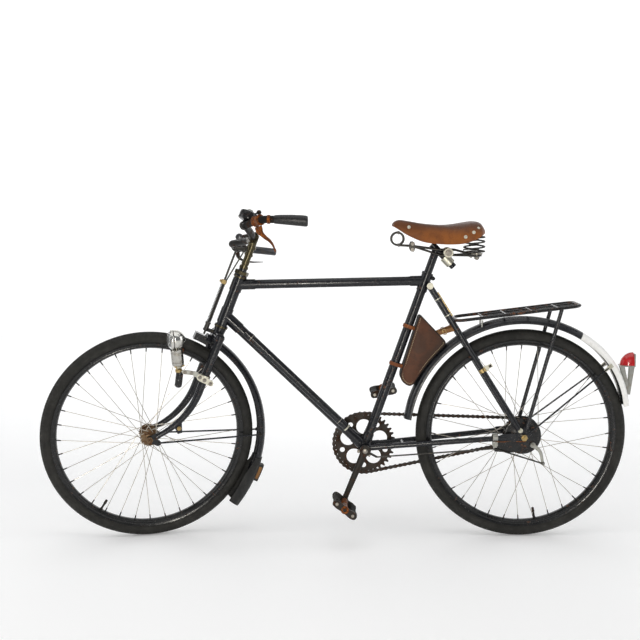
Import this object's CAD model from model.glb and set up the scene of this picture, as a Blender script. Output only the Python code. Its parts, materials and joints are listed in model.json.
import json
from collections import namedtuple

import bmesh
import bpy
import numpy as np
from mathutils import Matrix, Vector


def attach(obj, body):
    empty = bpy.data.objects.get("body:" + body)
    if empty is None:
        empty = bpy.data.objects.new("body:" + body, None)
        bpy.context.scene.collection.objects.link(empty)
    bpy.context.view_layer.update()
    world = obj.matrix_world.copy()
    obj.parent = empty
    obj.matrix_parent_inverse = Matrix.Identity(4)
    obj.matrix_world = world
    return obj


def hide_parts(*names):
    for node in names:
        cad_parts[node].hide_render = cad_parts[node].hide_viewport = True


# The looks of an old army bicycle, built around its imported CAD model.
# Metres, +X forward, +Y to the rider's left, +Z up, origin at the low point of the saddle.
# Sizes named in millimetres are turned to metres by MM.

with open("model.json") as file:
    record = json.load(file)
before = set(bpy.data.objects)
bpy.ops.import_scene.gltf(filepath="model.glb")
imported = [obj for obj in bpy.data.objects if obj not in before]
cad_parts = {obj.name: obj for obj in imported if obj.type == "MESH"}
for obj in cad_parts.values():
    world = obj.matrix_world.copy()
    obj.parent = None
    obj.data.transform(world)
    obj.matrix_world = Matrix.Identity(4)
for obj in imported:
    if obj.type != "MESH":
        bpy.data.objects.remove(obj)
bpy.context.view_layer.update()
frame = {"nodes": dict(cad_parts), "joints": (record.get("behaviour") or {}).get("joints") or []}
nodes = frame["nodes"]
MM = 0.001
TAU = 2 * np.pi

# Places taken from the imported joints

joint = {j["name"]: j for j in frame["joints"]}
place = {name: np.array(j["pos_m"], float) for name, j in joint.items()}
REAR = place["rear_spin"]
BB = place["crank_spin"]
HEAD_UP = np.array(joint["steer"]["axis"], float)
HEAD_FWD = np.array([HEAD_UP[2], 0.0, -HEAD_UP[0]])
LEFT = np.array([0.0, 1.0, 0.0])
X_AXIS = np.array([1.0, 0.0, 0.0])
Z_AXIS = np.array([0.0, 0.0, 1.0])
STEER_REST = np.radians(14.0)      # steering turned to the left at rest
HEAD_MID = 485.0                   # steer joint up the steering axis from the axle's foot
FOOT = place["steer"] - HEAD_UP * HEAD_MID * MM
RAKE = 91.7
FRONT = FOOT + HEAD_FWD * RAKE * MM
SEAT_ANGLE = np.radians(70.5)
SEAT_UP = np.array([-np.cos(SEAT_ANGLE), 0.0, np.sin(SEAT_ANGLE)])
SEAT_FWD = np.array([np.sin(SEAT_ANGLE), 0.0, np.cos(SEAT_ANGLE)])

# Sizes in millimetres

WHEEL_R = 330.0
TYRE_MID = 309.5         # radius of the middle of the tyre's section
TYRE_HIGH, TYRE_WIDE = 19.3, 18.8
TYRE_RIB = 1.2
TYRE_BLOCKS = 230
RIM_IN = 279.0
SPOKES = 36
SPOKE_CROSSES = 3
SPOKE_R = 1.0
VALVE_LEN = 34.0
GUARD_CREST = 371.0
GUARD_HIGH, GUARD_WIDE = 21.0, 54.0
GUARD_SHEET, GUARD_BEAD = 1.4, 1.9


def mm(*xyz):
    """A place given in millimetres, or a row of places, as an array in metres."""
    return np.array(xyz, float) * MM


def on_head(s, fwd=0.0, y=0.0):
    """Point s up the steering axis, fwd ahead of it and y to the left, before the steering is turned."""
    return FOOT + (HEAD_UP * s + HEAD_FWD * fwd + LEFT * y) * MM


def on_seat(d, fwd=0.0, y=0.0):
    """Point d up the seat tube from the bottom bracket."""
    return BB + (SEAT_UP * d + SEAT_FWD * fwd + LEFT * y) * MM


def around(centre, radius, degrees, y=0.0):
    """Point at a radius and an angle, up from forward, about a wheel's middle."""
    a = np.radians(degrees)
    zero = np.zeros_like(a)
    return centre + np.stack([radius * np.cos(a), zero + y, radius * np.sin(a)], -1) * MM


def turn(points):
    """The points turned with the steering to its rest angle, by Rodrigues' formula."""
    v = np.asarray(points) - FOOT
    c, s = np.cos(STEER_REST), np.sin(STEER_REST)
    along = (v @ HEAD_UP)[..., None] * HEAD_UP
    return FOOT + v * c + np.cross(HEAD_UP, v) * s + along * (1 - c)


# Surfaces: grids of points, with wrapped directions

Surf = namedtuple("Surf", "grid wrap_u wrap_v")


def unit(v):
    """Vectors made one long."""
    v = np.asarray(v, float)
    return v / np.linalg.norm(v, axis=-1, keepdims=True)


def signed_power(v, power):
    """A power of the size of v, with the sign of v."""
    return np.sign(v) * np.abs(v) ** power


def close_ends(grid):
    """A row of rings with its two ends drawn in to their middles."""
    first = np.repeat(grid[:1].mean(1, keepdims=True), grid.shape[1], 1)
    last = np.repeat(grid[-1:].mean(1, keepdims=True), grid.shape[1], 1)
    return np.concatenate([first, grid, last])


def swept(path, section, ref=(0, 1, 0), closed=False):
    """A section carried along a path: each ring is path + a * side + b * over, where side is
    square to the path and to ref. The section has one (a, b) outline, or one for each path point."""
    path = np.asarray(path, float)
    if closed:
        run = np.roll(path, -1, 0) - np.roll(path, 1, 0)
    else:
        run = np.gradient(path, axis=0)
    run = unit(run)
    side = unit(np.cross(run, np.asarray(ref, float)))
    over = np.cross(side, run)
    section = np.broadcast_to(np.asarray(section, float), (len(path),) + np.shape(section)[-2:])
    grid = path[:, None] + section[..., :1] * side[:, None] + section[..., 1:] * over[:, None]
    return Surf(grid if closed else close_ends(grid), closed, True)


def tube(path, radius, sides=12, ref=(0, 1, 0), closed=False):
    """A round bar along a path; the radius is in millimetres."""
    a = np.arange(sides) / sides * TAU
    return swept(path, np.stack([np.cos(a), np.sin(a)], -1) * radius * MM, ref, closed)


def turned(profile, centre, axis, steps=48):
    """A profile of (radius, along) pairs in millimetres turned about an axis:
    centre + along * axis + radius * (cos e1 + sin e2)."""
    profile = np.asarray(profile, float) * MM
    axis = unit(axis)
    helper = X_AXIS if abs(axis[0]) < 0.9 else Z_AXIS
    e1 = unit(np.cross(axis, helper))
    e2 = np.cross(axis, e1)
    a = np.arange(steps) / steps * TAU
    spoke = np.cos(a)[:, None] * e1 + np.sin(a)[:, None] * e2
    grid = centre + profile[:, None, 1:] * axis + profile[:, None, :1] * spoke[None]
    return Surf(grid, False, True)


def slab(outline, low, high, origin, ex, ey, ez):
    """A closed outline in the plane of ex and ez, given thickness from low to high along ey."""
    outline = np.asarray(outline, float)
    flat = origin + outline[:, :1] * np.asarray(ex) * MM + outline[:, 1:] * np.asarray(ez) * MM
    ey = np.asarray(ey, float)
    rings = np.stack([flat + ey * low * MM, flat + ey * high * MM])
    return Surf(close_ends(rings), False, True)


def copies(surf, origins, frames):
    """One surface set at many places: origin + point @ frame, as one array."""
    grid = np.einsum("uvi,kij->kuvj", surf.grid, np.asarray(frames)) + np.asarray(origins)[:, None, None]
    return Surf(grid, surf.wrap_u, surf.wrap_v)


def moved(surf, change):
    """A surface with a change, such as turn, made to its points."""
    return Surf(change(surf.grid), surf.wrap_u, surf.wrap_v)


def smooth_path(points, count=60, closed=False):
    """A Catmull-Rom curve through the points, as one array."""
    p = np.asarray(points, float)
    if closed:
        q = np.concatenate([p[-1:], p, p[:2]])
        n = len(p)
    else:
        q = np.concatenate([2 * p[:1] - p[1:2], p, 2 * p[-1:] - p[-2:-1]])
        n = len(p) - 1
    u = np.linspace(0, n, count, endpoint=not closed)
    i = np.minimum(u.astype(int), n - 1)
    t = (u - i)[:, None]
    a, b, c, d = q[i], q[i + 1], q[i + 2], q[i + 3]
    bend = (2 * a - 5 * b + 4 * c - d) * t ** 2
    return 0.5 * (2 * b + (c - a) * t + bend + (3 * b - a - 3 * c + d) * t ** 3)


def face_array(surf):
    """Corner numbers of every quad of a grid, or of each of its copies."""
    nu, nv = surf.grid.shape[-3:-1]
    i = np.arange(nu if surf.wrap_u else nu - 1)[:, None]
    j = np.arange(nv if surf.wrap_v else nv - 1)[None]
    i2, j2 = (i + 1) % nu, (j + 1) % nv
    quad = np.stack(np.broadcast_arrays(i * nv + j, i2 * nv + j, i2 * nv + j2, i * nv + j2), -1)
    count = surf.grid.reshape(-1, 3).shape[0] // (nu * nv)
    return (quad.reshape(1, -1, 4) + np.arange(count)[:, None, None] * nu * nv).reshape(-1, 4)


def made_of(finish, *surfs):
    """Parts of one finish, for a piece."""
    return [(finish, surf) for surf in surfs]


def piece(name, body, parts, swaps=(), sharp=38.0):
    """A mesh object from (material, surface) parts. It rides on a body, takes a slot's finish
    and stands for the CAD nodes in swaps. Doubles are merged and the faces turned outwards."""
    points, faces, index, finishes = [], [], [], []
    total = 0
    for finish, surf in parts:
        if finish not in finishes:
            finishes.append(finish)
        flat = surf.grid.reshape(-1, 3)
        quads = face_array(surf) + total
        points.append(flat)
        faces.append(quads)
        index.append(np.full(len(quads), finishes.index(finish)))
        total += len(flat)
    points, faces, index = (np.concatenate(x) for x in (points, faces, index))
    mesh = bpy.data.meshes.new(name)
    mesh.vertices.add(len(points))
    mesh.vertices.foreach_set("co", points.astype(np.float32).ravel())
    mesh.loops.add(faces.size)
    mesh.loops.foreach_set("vertex_index", faces.astype(np.int32).ravel())
    mesh.polygons.add(len(faces))
    mesh.polygons.foreach_set("loop_start", np.arange(0, faces.size, 4, dtype=np.int32))
    mesh.polygons.foreach_set("material_index", index.astype(np.int32))
    mesh.update(calc_edges=True)
    work = bmesh.new()
    work.from_mesh(mesh)
    bmesh.ops.remove_doubles(work, verts=work.verts, dist=2e-6)
    bmesh.ops.recalc_face_normals(work, faces=work.faces)
    work.to_mesh(mesh)
    work.free()
    for finish in finishes:
        mesh.materials.append(finish)
    mesh.polygons.foreach_set("use_smooth", np.ones(len(mesh.polygons), bool))
    mesh.set_sharp_from_angle(angle=np.radians(sharp))
    obj = bpy.data.objects.new(name, mesh)
    bpy.context.scene.collection.objects.link(obj)
    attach(obj, body)
    if swaps:
        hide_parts(*swaps)


# Finishes


class Finish:
    """A material's node tree, with short calls for the nodes that the finishes share."""

    def __init__(self, name, **sockets):
        self.material = bpy.data.materials.new(name)
        self.material.use_nodes = True
        self.tree = self.material.node_tree
        self.shader = self.tree.nodes["Principled BSDF"]
        self.where = self.tree.nodes.new("ShaderNodeTexCoord").outputs["Object"]
        self.set(**sockets)

    def put(self, socket, value):
        """Links a socket to a node's output, or sets it."""
        if isinstance(value, bpy.types.NodeSocket):
            self.tree.links.new(value, socket)
        elif isinstance(value, tuple) and len(value) == 3 and len(socket.default_value) == 4:
            socket.default_value = (*value, 1.0)
        else:
            socket.default_value = value

    def node(self, kind, output, inputs, **settings):
        """One output of a new node, after its settings and inputs are put in."""
        node = self.tree.nodes.new("ShaderNode" + kind)
        for key, value in settings.items():
            setattr(node, key, value)
        for key, value in inputs.items():
            self.put(node.inputs[key], value)
        return node.outputs[output]

    def noise(self, scale, detail=4.0, rough=0.55, twist=0.0):
        """Fractal noise."""
        return self.node("TexNoise", "Fac", {"Vector": self.where, "Scale": scale, "Detail": detail,
                                             "Roughness": rough, "Distortion": twist})

    def cells(self, scale, feature="F1"):
        """Cell pattern for grain and pores."""
        return self.node("TexVoronoi", "Distance", {"Vector": self.where, "Scale": scale}, feature=feature)

    def level(self, value, low, high, to_low=0.0, to_high=1.0):
        """A value stretched smoothly from low..high to to_low..to_high."""
        span = {"Value": value, "From Min": low, "From Max": high, "To Min": to_low, "To Max": to_high}
        return self.node("MapRange", "Result", span, interpolation_type="SMOOTHSTEP")

    def sums(self, kind, a, b):
        """One step of arithmetic."""
        return self.node("Math", 0, {0: a, 1: b}, operation=kind)

    def times(self, a, b):
        """Product of two numbers."""
        return self.sums("MULTIPLY", a, b)

    def mix(self, amount, a, b):
        """Colour a, going to colour b by amount."""
        return self.node("Mix", 2, {0: amount, 6: a, 7: b}, data_type="RGBA")

    def blend(self, amount, a, b):
        """Number a, going to number b by amount."""
        return self.node("Mix", 0, {0: amount, 2: a, 3: b})

    def beyond(self, normal, offset, soft=0.001):
        """1 on the side of a plane that its normal points to, 0 on the other."""
        along = self.node("VectorMath", "Value", {0: self.where, 1: tuple(normal)}, operation="DOT_PRODUCT")
        return self.level(along, offset - soft, offset + soft)

    def bump(self, height, depth, strength=1.0):
        """Relief of a height in metres times depth."""
        relief = {"Strength": strength, "Distance": depth, "Height": height}
        self.set(Normal=self.node("Bump", "Normal", relief))

    def set(self, **sockets):
        """Links or sets the shader's sockets."""
        for key, value in sockets.items():
            self.put(self.shader.inputs[key.replace("_", " ")], value)
        return self.material


RUST = (0.155, 0.052, 0.014)
RUST_DARK = (0.045, 0.018, 0.008)
DUST = (0.13, 0.125, 0.115)


def enamel(name, base, chips, rust, dust):
    """Aged gloss enamel: chips to grey undercoat, specks of rust with dark rims, and dust."""
    f = Finish(name, Specular_IOR_Level=0.38)
    chipped = f.level(f.noise(170.0, 6.0, 0.62), 0.60 - chips, 0.68 - chips)
    worn = f.times(chipped, f.level(f.noise(9.0, 3.0), 0.42, 0.62))
    specks = f.level(f.noise(95.0, 6.0, 0.66), 0.62 - rust, 0.70 - rust)
    rusty = f.times(specks, f.level(f.noise(14.0), 0.46, 0.60))
    film = f.times(f.level(f.noise(42.0, 7.0, 0.7), 0.40, 0.80), dust)
    colour = f.mix(film, base, DUST)
    colour = f.mix(worn, colour, (0.13, 0.13, 0.125))
    tint = f.mix(f.noise(260.0), RUST_DARK, RUST)
    colour = f.mix(rusty, colour, tint)
    marks = f.sums("MAXIMUM", worn, rusty)
    gloss = f.level(f.noise(60.0, 5.0, 0.7), 0.35, 0.75, 0.13, 0.30)
    f.bump(f.sums("SUBTRACT", f.times(f.noise(420.0, 3.0), 0.25), marks), 0.00035)
    return f.set(Base_Color=colour, Roughness=f.blend(marks, gloss, 0.72))


def rusted(name, steel, dark, red, amount, metal=0.7, shine=0.25):
    """Old bare steel: brown patina, streaks and grains of orange rust over the grey metal."""
    f = Finish(name, Specular_IOR_Level=shine)
    cover = f.level(f.noise(48.0, 7.0, 0.68), 0.62 - amount, 0.76 - amount)
    grain = f.noise(520.0, 5.0, 0.7)
    colour = f.mix(f.level(f.noise(160.0, 5.0), 0.40, 0.66), dark, red)
    colour = f.mix(f.level(grain, 0.58, 0.75, 0.0, 0.55), colour, (0.32, 0.13, 0.035))
    colour = f.mix(cover, steel, colour)
    f.bump(f.times(grain, cover), 0.0006)
    return f.set(Base_Color=colour, Metallic=f.blend(cover, metal, 0.05),
                 Roughness=f.blend(cover, 0.34, 0.78))


def plated(name, base, rough, stain, spots):
    """Plated metal: even shine with cloudy tarnish and brown spots."""
    f = Finish(name)
    cloud = f.level(f.noise(70.0, 5.0, 0.65), 0.45, 0.75)
    spot = f.level(f.noise(210.0, 5.0, 0.7), 0.70 - spots, 0.78 - spots)
    colour = f.mix(f.times(cloud, stain), base, (0.20, 0.16, 0.10))
    colour = f.mix(spot, colour, (0.11, 0.045, 0.015))
    f.bump(f.noise(650.0, 3.0), 0.00012)
    gloss = f.blend(spot, f.level(cloud, 0.0, 1.0, rough, rough + 0.18), 0.75)
    return f.set(Base_Color=colour, Metallic=f.blend(spot, 1.0, 0.2), Roughness=gloss)


def rubber(name, base, dust, rough, shine=0.25):
    """Old rubber: grey bloom, dust in patches and a fine skin."""
    f = Finish(name, Specular_IOR_Level=shine)
    bloom = f.level(f.noise(26.0, 6.0, 0.65), 0.35, 0.78)
    speck = f.level(f.noise(330.0, 4.0, 0.7), 0.66, 0.78)
    colour = f.mix(f.times(bloom, dust), base, (0.12, 0.115, 0.10))
    colour = f.mix(f.times(speck, 0.35), colour, (0.20, 0.18, 0.14))
    f.bump(f.noise(900.0, 4.0), 0.00025)
    gloss = f.level(f.noise(80.0, 4.0), 0.3, 0.7, rough - 0.08, rough + 0.12)
    return f.set(Base_Color=colour, Roughness=gloss)


def hide(name, light, deep, dark, dark_from, grain, shine, top=None, shade=None):
    """Worn leather: colour clouds, dark handled areas, creases and a pebbled grain. Faces that look up
    go to the top colour, and shade is (colour, normal, offset, softness) of one darker end."""
    f = Finish(name, Specular_IOR_Level=0.28)
    cloud = f.noise(17.0, 5.0, 0.6, twist=0.6)
    fine = f.noise(120.0, 6.0, 0.65)
    pores = f.cells(grain)
    crease = f.cells(grain * 0.28, "DISTANCE_TO_EDGE")
    colour = f.mix(f.level(cloud, 0.34, 0.66), light, deep)
    colour = f.mix(f.level(f.noise(31.0, 6.0, 0.7), dark_from, dark_from + 0.22), colour, dark)
    colour = f.mix(f.level(fine, 0.56, 0.80, 0.0, 0.5), colour, dark)
    if top:
        facing = f.node("SeparateXYZ", "Z", {0: f.node("NewGeometry", "Normal", {})})
        up = f.sums("ADD", facing, f.level(cloud, 0.2, 0.8, -0.2, 0.2))
        colour = f.mix(f.level(up, 0.50, 0.95, 0.0, 0.85), colour, top)
    if shade:
        colour = f.mix(f.times(f.beyond(*shade[1:]), 0.8), colour, shade[0])
    lines = f.level(crease, 0.0, 0.05, 1.0, 0.0)
    colour = f.mix(f.times(lines, 0.35), colour, dark)
    relief = f.sums("SUBTRACT", f.times(pores, 0.5), f.times(lines, 0.35))
    f.bump(relief, 0.0007, 0.6)
    return f.set(Base_Color=colour, Roughness=f.level(fine, 0.3, 0.7, shine, shine + 0.2))


BLACK = (0.0085, 0.0095, 0.0125)
black_enamel = enamel("black_enamel", BLACK, 0.0, 0.035, 0.07)
dull_enamel = enamel("dull_enamel", (0.010, 0.010, 0.0105), -0.01, 0.07, 0.10)
rack_enamel = enamel("rack_enamel", (0.010, 0.010, 0.0105), 0.0, 0.13, 0.10)
rim_enamel = enamel("rim_enamel", (0.0085, 0.009, 0.0095), -0.02, 0.04, 0.08)
black_rust = rusted("black_rust", (0.026, 0.023, 0.020), (0.018, 0.011, 0.008), (0.080, 0.028, 0.010),
                    0.12, 0.4)
bar_rust = rusted("bar_rust", (0.016, 0.015, 0.014), (0.014, 0.010, 0.008), (0.070, 0.026, 0.010),
                  0.10, 0.1, 0.05)
chain_rust = rusted("chain_rust", (0.032, 0.025, 0.020), (0.018, 0.010, 0.006), (0.080, 0.028, 0.009),
                    0.14, 0.4)
orange_rust = rusted("orange_rust", (0.13, 0.05, 0.02), (0.085, 0.022, 0.005), (0.34, 0.095, 0.010),
                     0.22, 0.3)
hub_rust = rusted("hub_rust", (0.17, 0.11, 0.06), (0.045, 0.020, 0.009), (0.15, 0.058, 0.018), 0.16, 0.5)
dull_steel = plated("dull_steel", (0.30, 0.28, 0.25), 0.34, 0.55, 0.04)
spoke_steel = plated("spoke_steel", (0.47, 0.44, 0.39), 0.30, 0.45, 0.03)
dark_wire = plated("dark_wire", (0.060, 0.058, 0.055), 0.36, 0.30, 0.05)
chrome = plated("chrome", (0.66, 0.65, 0.61), 0.10, 0.30, 0.05)
zinc = plated("zinc", (0.62, 0.60, 0.50), 0.38, 0.35, 0.04)
brass = plated("brass", (0.44, 0.32, 0.14), 0.30, 0.50, 0.07)
olive_brass = plated("olive_brass", (0.075, 0.064, 0.038), 0.24, 0.25, 0.07)
galvanized = plated("galvanized", (0.40, 0.40, 0.37), 0.40, 0.50, 0.05)
dynamo_chrome = plated("dynamo_chrome", (0.47, 0.46, 0.43), 0.14, 0.60, 0.09)
gun_steel = plated("gun_steel", (0.075, 0.078, 0.085), 0.28, 0.30, 0.04)
tyre_rubber = rubber("tyre_rubber", (0.0155, 0.0152, 0.0135), 0.14, 0.60)
grip_rubber = rubber("grip_rubber", (0.010, 0.010, 0.0105), 0.10, 0.26, 0.42)
block_rubber = rubber("block_rubber", (0.013, 0.012, 0.011), 0.12, 0.60, 0.06)
flap_rubber = rubber("flap_rubber", (0.018, 0.018, 0.018), 0.25, 0.55)
saddle_hide = hide("saddle_hide", (0.29, 0.090, 0.014), (0.185, 0.056, 0.011), (0.075, 0.025, 0.010),
                   0.54, 900.0, 0.36, top=(0.045, 0.020, 0.011),
                   shade=((0.090, 0.031, 0.010), Z_AXIS, -0.018, 0.022))
BAG_MID = BB @ SEAT_FWD - 0.095      # where the bag turns darker towards the back
bag_hide = hide("bag_hide", (0.103, 0.034, 0.013), (0.064, 0.025, 0.012), (0.032, 0.015, 0.009),
                0.54, 800.0, 0.36, shade=((0.027, 0.021, 0.015), -SEAT_FWD, -BAG_MID, 0.05))
strap_hide = hide("strap_hide", (0.30, 0.092, 0.021), (0.18, 0.052, 0.014), (0.05, 0.017, 0.009),
                  0.56, 800.0, 0.34)
bag_edge = hide("bag_edge", (0.022, 0.015, 0.010), (0.016, 0.011, 0.008), (0.010, 0.008, 0.006),
                0.5, 800.0, 0.55)
tan_strap = hide("tan_strap", (0.33, 0.16, 0.05), (0.20, 0.09, 0.03), (0.07, 0.03, 0.014), 0.56, 800.0, 0.40)
WHITE_FROM = 120.5      # white paint starts here, degrees up from forward about the rear axle


def white_tail_finish():
    """Black enamel with a white-painted tail: white beyond a plane through the axle."""
    f = Finish("guard_enamel", Coat_Weight=0.2, Coat_Roughness=0.15)
    start = np.radians(WHITE_FROM)
    normal = np.array([-np.sin(start), 0.0, np.cos(start)])
    tail = f.beyond(normal, float(normal @ REAR), 0.0008)
    grime = f.level(f.noise(55.0, 7.0, 0.7), 0.48, 0.85, 0.0, 0.55)
    rusty = f.times(f.level(f.noise(120.0, 6.0, 0.68), 0.63, 0.70), f.level(f.noise(11.0), 0.48, 0.6))
    white = f.mix(grime, (0.90, 0.895, 0.87), (0.58, 0.54, 0.46))
    black = f.mix(f.level(f.noise(42.0, 7.0, 0.7), 0.5, 0.9, 0.0, 0.4), BLACK, DUST)
    colour = f.mix(tail, black, white)
    colour = f.mix(rusty, colour, RUST)
    f.bump(f.sums("SUBTRACT", f.times(f.noise(300.0), 0.2), rusty), 0.0004)
    gloss = f.level(f.noise(60.0), 0.3, 0.7, 0.22, 0.42)
    return f.set(Base_Color=colour, Roughness=f.blend(rusty, gloss, 0.75))


guard_enamel = white_tail_finish()


def glass_finish(name, colour, rough, through):
    """Glass or clear plastic, a little dusty."""
    f = Finish(name, Transmission_Weight=through, IOR=1.49, Coat_Weight=0.5)
    f.bump(f.noise(180.0, 3.0), 0.0002)
    dusty = tuple(0.75 * c + 0.03 for c in colour)
    shade = f.mix(f.level(f.noise(90.0, 6.0, 0.7), 0.55, 0.9, 0.0, 0.35), colour, dusty)
    return f.set(Base_Color=shade, Roughness=f.level(f.noise(120.0), 0.3, 0.7, rough, rough + 0.08))


red_lens = glass_finish("red_lens", (0.62, 0.012, 0.016), 0.08, 0.25)
lamp_glass = glass_finish("lamp_glass", (0.92, 0.93, 0.92), 0.03, 0.92)


def thread_finish():
    """Waxed linen thread."""
    f = Finish("linen_thread")
    colour = f.mix(f.noise(500.0), (0.50, 0.40, 0.24), (0.30, 0.22, 0.12))
    f.bump(f.noise(2500.0), 0.0002)
    return f.set(Base_Color=colour, Roughness=0.7)


linen_thread = thread_finish()

# Finish of every CAD node; the pieces made below stand for most of them

cad_finish = (
    (black_enamel, "head_tube top_tube down_tube seat_tube seat_lug bottom_bracket_shell chain_stays "
                   "seat_stays seat_post rear_mudguard_stays rack_struts pump fork front_mudguard "
                   "front_mudguard_stays"),
    (dull_enamel, "brake_plate brake_arm bell front_brake_shoe rear_hub"),
    (rack_enamel, "rear_rack"), (rim_enamel, "front_rim rear_rim"), (guard_enamel, "rear_mudguard"),
    (black_rust, "brake_lever_right crank_axle crank_left crank_right pedal_left pedal_right"),
    (bar_rust, "handlebar"), (chain_rust, "chain chainring rear_sprocket"), (orange_rust, "brake_lever_left"),
    (hub_rust, "front_axle front_hub"), (spoke_steel, "front_spokes rear_spokes"),
    (dark_wire, "saddle_frame saddle_springs brake_rod front_brake_rod"), (chrome, "headlamp dynamo"),
    (zinc, "saddle_clamp lamp_bracket"), (galvanized, "tail_lamp_bracket"), (brass, "rear_axle"),
    (olive_brass, "stem"), (tyre_rubber, "front_tyre rear_tyre"), (grip_rubber, "grips"),
    (flap_rubber, "mud_flap"), (saddle_hide, "saddle_leather"), (bag_hide, "tool_bag"),
    (strap_hide, "bag_straps"), (red_lens, "tail_lamp_lens"),
)
for finish, names in cad_finish:
    for name in names.split():
        nodes[name].data.materials.clear()
        nodes[name].data.materials.append(finish)

# Wheels

Wheel = namedtuple("Wheel", "name centre place body")


def still(points):
    """Points left where they are."""
    return points


front = Wheel("front", FRONT, turn, "front_wheel")
rear = Wheel("rear", REAR, still, "rear_wheel")
FLANGE_Y = 30.0
DRUM_R = 52.0
PLATE_Y = 40.5


def bars(a, b, stations, sides=6):
    """Round bars from points a to points b. Each station is (share of the length, extra
    millimetres, radius), and the rings stand square to the bar."""
    a, b = np.atleast_2d(a), np.atleast_2d(b)
    run = unit(b - a)
    helper = np.where(np.abs(run[:, 1:2]) > 0.9, [[1.0, 0, 0]], [[0, 1.0, 0]])
    e1 = unit(np.cross(run, helper))
    e2 = np.cross(run, e1)
    share, extra, radius = np.asarray(stations, float).T
    middle = a[:, None] + (b - a)[:, None] * share[:, None] + run[:, None] * extra[:, None] * MM
    t = np.arange(sides) / sides * TAU
    ring = np.cos(t)[:, None] * e1[:, None] + np.sin(t)[:, None] * e2[:, None]
    grid = middle[:, :, None] + radius[:, None, None] * MM * ring[:, None]
    return Surf(grid, False, True)


def rod(a, b, radius, sides=12):
    """A round bar with flat ends; a pair of radii makes it taper."""
    first, last = np.broadcast_to(radius, 2)
    return bars(a, b, [(0, 0, 0), (0, 0, first), (1, 0, last), (1, 0, 0)], sides)


def tyre(wheel):
    """Tyre: radius middle + (high + lift) cos t and side (wide + lift) sin t over the section angle t.
    The lift is three round ribs, shoulder blocks cut crosswise, and fine rings on the side walls."""
    half = np.array([0, 8, 9.5, 12, 13.5, 24, 25.5, 28, 29.5, 40, 50, 60, 63, 68, 72, 76, 80, 84, 90, 96, 102,
                     108, 116, 124, 132, 142.0])
    lift = np.array([1, 1, 0, 0, 1, 1, 0, 0, 1, 1, 1, 1, 0, 0, .3, 0, .3, 0, 0, 0, .45, 0, 0, .3, 0, 0])
    shoulder = (half > 29) & (half < 61)
    t = np.radians(np.concatenate([-half[:0:-1], half]))
    lift = np.concatenate([lift[:0:-1], lift])
    cut_left = np.concatenate([shoulder[:0:-1], np.zeros(len(half), bool)])
    cut_right = np.concatenate([np.zeros(len(half) - 1, bool), shoulder])
    count = np.arange(TYRE_BLOCKS * 4)
    on = (count % 4 < 2)[:, None]
    off = (count % 4 >= 2)[:, None]
    raised = TYRE_RIB * np.where(cut_left, on, np.where(cut_right, off, True)) * lift
    a = (count / len(count) * TAU)[:, None]
    r = TYRE_MID + (TYRE_HIGH + raised) * np.cos(t)
    y = (TYRE_WIDE + np.where(np.abs(t) > 1.1, raised, raised * 0.6)) * np.sin(t)
    grid = wheel.centre + np.stack([r * np.cos(a), y + 0 * a, r * np.sin(a)], -1) * MM
    piece(wheel.name + "_tyre_tread", wheel.body,
          [(tyre_rubber, Surf(wheel.place(grid), True, True))], [wheel.name + "_tyre"], 50.0)


def mirrored(half):
    """A half section of (radius, side) pairs, closed by its mirror image."""
    half = np.asarray(half, float)
    return np.concatenate([half, (half * [1, -1])[::-1]])


def ring_of(section, centre, steps, axis=LEFT):
    """A closed section turned about an axis, such as a wheel's axle."""
    return Surf(turned(section, centre, axis, steps).grid, True, True)


def rim(wheel):
    """Rim with a hollow back, rolled lips and a step where the brake would run."""
    half = [(279.0, 0.6), (279.2, 4), (280.4, 7.6), (283, 12), (285.4, 15.0), (287.5, 15.9), (289, 15.4),
            (291, 15.4), (293, 16.2), (295, 16.8), (296.6, 17.6), (297.8, 17.0), (297.6, 15.4), (295, 14.7),
            (291, 13.4), (289.4, 11.5), (289, 6), (289, 0.6)]
    ring = moved(ring_of(mirrored(half), wheel.centre, 240), wheel.place)
    piece(wheel.name + "_rim_section", wheel.body, [(rim_enamel, ring)], [wheel.name + "_rim"])


def spokes(wheel, flanges):
    """Crossed spokes with nipples at the rim, from hub flanges given as (radius, inner side, outer side)."""
    i = np.arange(SPOKES)
    side = i % 2
    lead = np.where(i // 2 % 2, 1, -1)
    sign = 1.0 - 2.0 * side
    hub_r, inner, outer = np.asarray(flanges, float)[side].T
    rim_a = 360.0 / SPOKES * i
    hub_a = rim_a + lead * SPOKE_CROSSES * 720.0 / SPOKES
    a = wheel.place(around(wheel.centre, hub_r, hub_a, sign * np.where(lead > 0, outer, inner)))
    b = wheel.place(around(wheel.centre, RIM_IN + 0.5, rim_a, sign * 3.0))
    wires = bars(a, b, [(0, -2, 0), (0, -2, SPOKE_R), (1, 0, SPOKE_R), (1, 0, 0)], 6)
    nipples = bars(a, b, [(1, -13, 0), (1, -13, 1.5), (1, -12, 1.9), (1, -1, 2.1), (1, 0.5, 2.1),
                          (1, 0.5, 0)], 8)
    piece(wheel.name + "_spokes_laced", wheel.body,
          [(spoke_steel, wires), (black_rust, nipples)], [wheel.name + "_spokes"])


def valve(wheel, degrees):
    """Tyre valve: a threaded stem with its cap, standing in from the rim."""
    a, b = wheel.place(around(wheel.centre, RIM_IN + np.array([1.0, -VALVE_LEN]), np.full(2, degrees)))
    stem = bars(a, b, [(0, 0, 0), (0, 0, 5.0), (0, 3, 5.0), (0, 3.2, 3.4), (0, 20, 3.4), (0, 20.2, 4.4),
                       (1, -2, 4.2), (1, 0, 3.0), (1, 0, 0)], 12)
    piece(wheel.name + "_valve", wheel.body, [(black_rust, stem)])


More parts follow.
